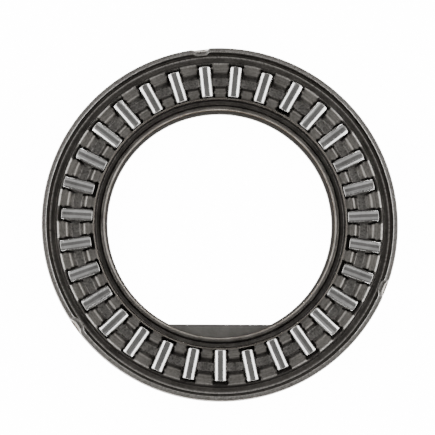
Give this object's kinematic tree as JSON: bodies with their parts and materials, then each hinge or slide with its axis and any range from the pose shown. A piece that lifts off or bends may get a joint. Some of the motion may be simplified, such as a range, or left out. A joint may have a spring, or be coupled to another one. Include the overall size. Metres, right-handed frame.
{
  "type": "thrust needle roller bearing",
  "caption": "Flat ring bearing for axial load: a lipped steel race on a washer with a D-shaped bore, and a caged ring of radial needle rollers held in by stakes.",
  "frame": {"origin": "on the bearing's axis, in the bottom face of the keyed washer", "axes": "+Z along the bearing's axis towards the open roller side; the flat of the washer's D-shaped bore faces -Y"},
  "size_m": [0.0508, 0.0508, 0.0031],
  "materials": {
    "race_steel": "lightly oiled, satin, formed and hardened sheet",
    "washer_steel": "matte, stamped sheet",
    "cage_steel": "oiled, satin, pressed sheet",
    "roller_steel": "ground and bright"
  },
  "bodies": {
    "race": {"lipped_race": "race_steel", "keyed_washer": "washer_steel"},
    "cage": {"cage": "cage_steel"},
    "roller_01": {"roller_01": "roller_steel"},
    "roller_02": {"roller_02": "roller_steel"},
    "roller_03": {"roller_03": "roller_steel"},
    "roller_04": {"roller_04": "roller_steel"},
    "roller_05": {"roller_05": "roller_steel"},
    "roller_06": {"roller_06": "roller_steel"},
    "roller_07": {"roller_07": "roller_steel"},
    "roller_08": {"roller_08": "roller_steel"},
    "roller_09": {"roller_09": "roller_steel"},
    "roller_10": {"roller_10": "roller_steel"},
    "roller_11": {"roller_11": "roller_steel"},
    "roller_12": {"roller_12": "roller_steel"},
    "roller_13": {"roller_13": "roller_steel"},
    "roller_14": {"roller_14": "roller_steel"},
    "roller_15": {"roller_15": "roller_steel"},
    "roller_16": {"roller_16": "roller_steel"},
    "roller_17": {"roller_17": "roller_steel"},
    "roller_18": {"roller_18": "roller_steel"},
    "roller_19": {"roller_19": "roller_steel"},
    "roller_20": {"roller_20": "roller_steel"},
    "roller_21": {"roller_21": "roller_steel"},
    "roller_22": {"roller_22": "roller_steel"},
    "roller_23": {"roller_23": "roller_steel"},
    "roller_24": {"roller_24": "roller_steel"},
    "roller_25": {"roller_25": "roller_steel"},
    "roller_26": {"roller_26": "roller_steel"},
    "roller_27": {"roller_27": "roller_steel"},
    "roller_28": {"roller_28": "roller_steel"},
    "roller_29": {"roller_29": "roller_steel"},
    "roller_30": {"roller_30": "roller_steel"},
    "roller_31": {"roller_31": "roller_steel"}
  },
  "joints": [
    {"name": "cage_spin", "type": "hinge", "parent": "race", "child": "cage", "pos_m": [0, 0, 0], "axis": [0, 0, 1], "continuous": true},
    {"name": "roller_01_spin", "type": "hinge", "parent": "cage", "child": "roller_01", "pos_m": [0, -0.0206, 0.00211], "axis": [0, -1, 0], "continuous": true},
    {"name": "roller_02_spin", "type": "hinge", "parent": "cage", "child": "roller_02", "pos_m": [0.00415, -0.02018, 0.00211], "axis": [0.2013, -0.9795, 0], "continuous": true},
    {"name": "roller_03_spin", "type": "hinge", "parent": "cage", "child": "roller_03", "pos_m": [0.00812, -0.01893, 0.00211], "axis": [0.3944, -0.919, 0], "continuous": true},
    {"name": "roller_04_spin", "type": "hinge", "parent": "cage", "child": "roller_04", "pos_m": [0.01177, -0.01691, 0.00211], "axis": [0.5713, -0.8208, 0], "continuous": true},
    {"name": "roller_05_spin", "type": "hinge", "parent": "cage", "child": "roller_05", "pos_m": [0.01493, -0.01419, 0.00211], "axis": [0.7248, -0.689, 0], "continuous": true},
    {"name": "roller_06_spin", "type": "hinge", "parent": "cage", "child": "roller_06", "pos_m": [0.01748, -0.0109, 0.00211], "axis": [0.8486, -0.529, 0], "continuous": true},
    {"name": "roller_07_spin", "type": "hinge", "parent": "cage", "child": "roller_07", "pos_m": [0.01932, -0.00715, 0.00211], "axis": [0.9378, -0.3473, 0], "continuous": true},
    {"name": "roller_08_spin", "type": "hinge", "parent": "cage", "child": "roller_08", "pos_m": [0.02036, -0.00312, 0.00211], "axis": [0.9885, -0.1514, 0], "continuous": true},
    {"name": "roller_09_spin", "type": "hinge", "parent": "cage", "child": "roller_09", "pos_m": [0.02057, 0.00104, 0.00211], "axis": [0.9987, 0.0506, 0], "continuous": true},
    {"name": "roller_10_spin", "type": "hinge", "parent": "cage", "child": "roller_10", "pos_m": [0.01994, 0.00516, 0.00211], "axis": [0.9681, 0.2507, 0], "continuous": true},
    {"name": "roller_11_spin", "type": "hinge", "parent": "cage", "child": "roller_11", "pos_m": [0.01849, 0.00907, 0.00211], "axis": [0.8978, 0.4404, 0], "continuous": true},
    {"name": "roller_12_spin", "type": "hinge", "parent": "cage", "child": "roller_12", "pos_m": [0.01629, 0.01261, 0.00211], "axis": [0.7908, 0.6121, 0], "continuous": true},
    {"name": "roller_13_spin", "type": "hinge", "parent": "cage", "child": "roller_13", "pos_m": [0.01342, 0.01563, 0.00211], "axis": [0.6514, 0.7588, 0], "continuous": true},
    {"name": "roller_14_spin", "type": "hinge", "parent": "cage", "child": "roller_14", "pos_m": [0.01, 0.01801, 0.00211], "axis": [0.4853, 0.8743, 0], "continuous": true},
    {"name": "roller_15_spin", "type": "hinge", "parent": "cage", "child": "roller_15", "pos_m": [0.00617, 0.01966, 0.00211], "axis": [0.2994, 0.9541, 0], "continuous": true},
    {"name": "roller_16_spin", "type": "hinge", "parent": "cage", "child": "roller_16", "pos_m": [0.00208, 0.02049, 0.00211], "axis": [0.1012, 0.9949, 0], "continuous": true},
    {"name": "roller_17_spin", "type": "hinge", "parent": "cage", "child": "roller_17", "pos_m": [-0.00208, 0.02049, 0.00211], "axis": [-0.1012, 0.9949, 0], "continuous": true},
    {"name": "roller_18_spin", "type": "hinge", "parent": "cage", "child": "roller_18", "pos_m": [-0.00617, 0.01966, 0.00211], "axis": [-0.2994, 0.9541, 0], "continuous": true},
    {"name": "roller_19_spin", "type": "hinge", "parent": "cage", "child": "roller_19", "pos_m": [-0.01, 0.01801, 0.00211], "axis": [-0.4853, 0.8743, 0], "continuous": true},
    {"name": "roller_20_spin", "type": "hinge", "parent": "cage", "child": "roller_20", "pos_m": [-0.01342, 0.01563, 0.00211], "axis": [-0.6514, 0.7588, 0], "continuous": true},
    {"name": "roller_21_spin", "type": "hinge", "parent": "cage", "child": "roller_21", "pos_m": [-0.01629, 0.01261, 0.00211], "axis": [-0.7908, 0.6121, 0], "continuous": true},
    {"name": "roller_22_spin", "type": "hinge", "parent": "cage", "child": "roller_22", "pos_m": [-0.01849, 0.00907, 0.00211], "axis": [-0.8978, 0.4404, 0], "continuous": true},
    {"name": "roller_23_spin", "type": "hinge", "parent": "cage", "child": "roller_23", "pos_m": [-0.01994, 0.00516, 0.00211], "axis": [-0.9681, 0.2507, 0], "continuous": true},
    {"name": "roller_24_spin", "type": "hinge", "parent": "cage", "child": "roller_24", "pos_m": [-0.02057, 0.00104, 0.00211], "axis": [-0.9987, 0.0506, 0], "continuous": true},
    {"name": "roller_25_spin", "type": "hinge", "parent": "cage", "child": "roller_25", "pos_m": [-0.02036, -0.00312, 0.00211], "axis": [-0.9885, -0.1514, 0], "continuous": true},
    {"name": "roller_26_spin", "type": "hinge", "parent": "cage", "child": "roller_26", "pos_m": [-0.01932, -0.00715, 0.00211], "axis": [-0.9378, -0.3473, 0], "continuous": true},
    {"name": "roller_27_spin", "type": "hinge", "parent": "cage", "child": "roller_27", "pos_m": [-0.01748, -0.0109, 0.00211], "axis": [-0.8486, -0.529, 0], "continuous": true},
    {"name": "roller_28_spin", "type": "hinge", "parent": "cage", "child": "roller_28", "pos_m": [-0.01493, -0.01419, 0.00211], "axis": [-0.7248, -0.689, 0], "continuous": true},
    {"name": "roller_29_spin", "type": "hinge", "parent": "cage", "child": "roller_29", "pos_m": [-0.01177, -0.01691, 0.00211], "axis": [-0.5713, -0.8208, 0], "continuous": true},
    {"name": "roller_30_spin", "type": "hinge", "parent": "cage", "child": "roller_30", "pos_m": [-0.00812, -0.01893, 0.00211], "axis": [-0.3944, -0.919, 0], "continuous": true},
    {"name": "roller_31_spin", "type": "hinge", "parent": "cage", "child": "roller_31", "pos_m": [-0.00415, -0.02018, 0.00211], "axis": [-0.2013, -0.9795, 0], "continuous": true}
  ],
  "couplings": [
    {"joint": "roller_01_spin", "follows": "cage_spin", "ratio": -20.6},
    {"joint": "roller_02_spin", "follows": "cage_spin", "ratio": -20.6},
    {"joint": "roller_03_spin", "follows": "cage_spin", "ratio": -20.6},
    {"joint": "roller_04_spin", "follows": "cage_spin", "ratio": -20.6},
    {"joint": "roller_05_spin", "follows": "cage_spin", "ratio": -20.6},
    {"joint": "roller_06_spin", "follows": "cage_spin", "ratio": -20.6},
    {"joint": "roller_07_spin", "follows": "cage_spin", "ratio": -20.6},
    {"joint": "roller_08_spin", "follows": "cage_spin", "ratio": -20.6},
    {"joint": "roller_09_spin", "follows": "cage_spin", "ratio": -20.6},
    {"joint": "roller_10_spin", "follows": "cage_spin", "ratio": -20.6},
    {"joint": "roller_11_spin", "follows": "cage_spin", "ratio": -20.6},
    {"joint": "roller_12_spin", "follows": "cage_spin", "ratio": -20.6},
    {"joint": "roller_13_spin", "follows": "cage_spin", "ratio": -20.6},
    {"joint": "roller_14_spin", "follows": "cage_spin", "ratio": -20.6},
    {"joint": "roller_15_spin", "follows": "cage_spin", "ratio": -20.6},
    {"joint": "roller_16_spin", "follows": "cage_spin", "ratio": -20.6},
    {"joint": "roller_17_spin", "follows": "cage_spin", "ratio": -20.6},
    {"joint": "roller_18_spin", "follows": "cage_spin", "ratio": -20.6},
    {"joint": "roller_19_spin", "follows": "cage_spin", "ratio": -20.6},
    {"joint": "roller_20_spin", "follows": "cage_spin", "ratio": -20.6},
    {"joint": "roller_21_spin", "follows": "cage_spin", "ratio": -20.6},
    {"joint": "roller_22_spin", "follows": "cage_spin", "ratio": -20.6},
    {"joint": "roller_23_spin", "follows": "cage_spin", "ratio": -20.6},
    {"joint": "roller_24_spin", "follows": "cage_spin", "ratio": -20.6},
    {"joint": "roller_25_spin", "follows": "cage_spin", "ratio": -20.6},
    {"joint": "roller_26_spin", "follows": "cage_spin", "ratio": -20.6},
    {"joint": "roller_27_spin", "follows": "cage_spin", "ratio": -20.6},
    {"joint": "roller_28_spin", "follows": "cage_spin", "ratio": -20.6},
    {"joint": "roller_29_spin", "follows": "cage_spin", "ratio": -20.6},
    {"joint": "roller_30_spin", "follows": "cage_spin", "ratio": -20.6},
    {"joint": "roller_31_spin", "follows": "cage_spin", "ratio": -20.6}
  ]
}
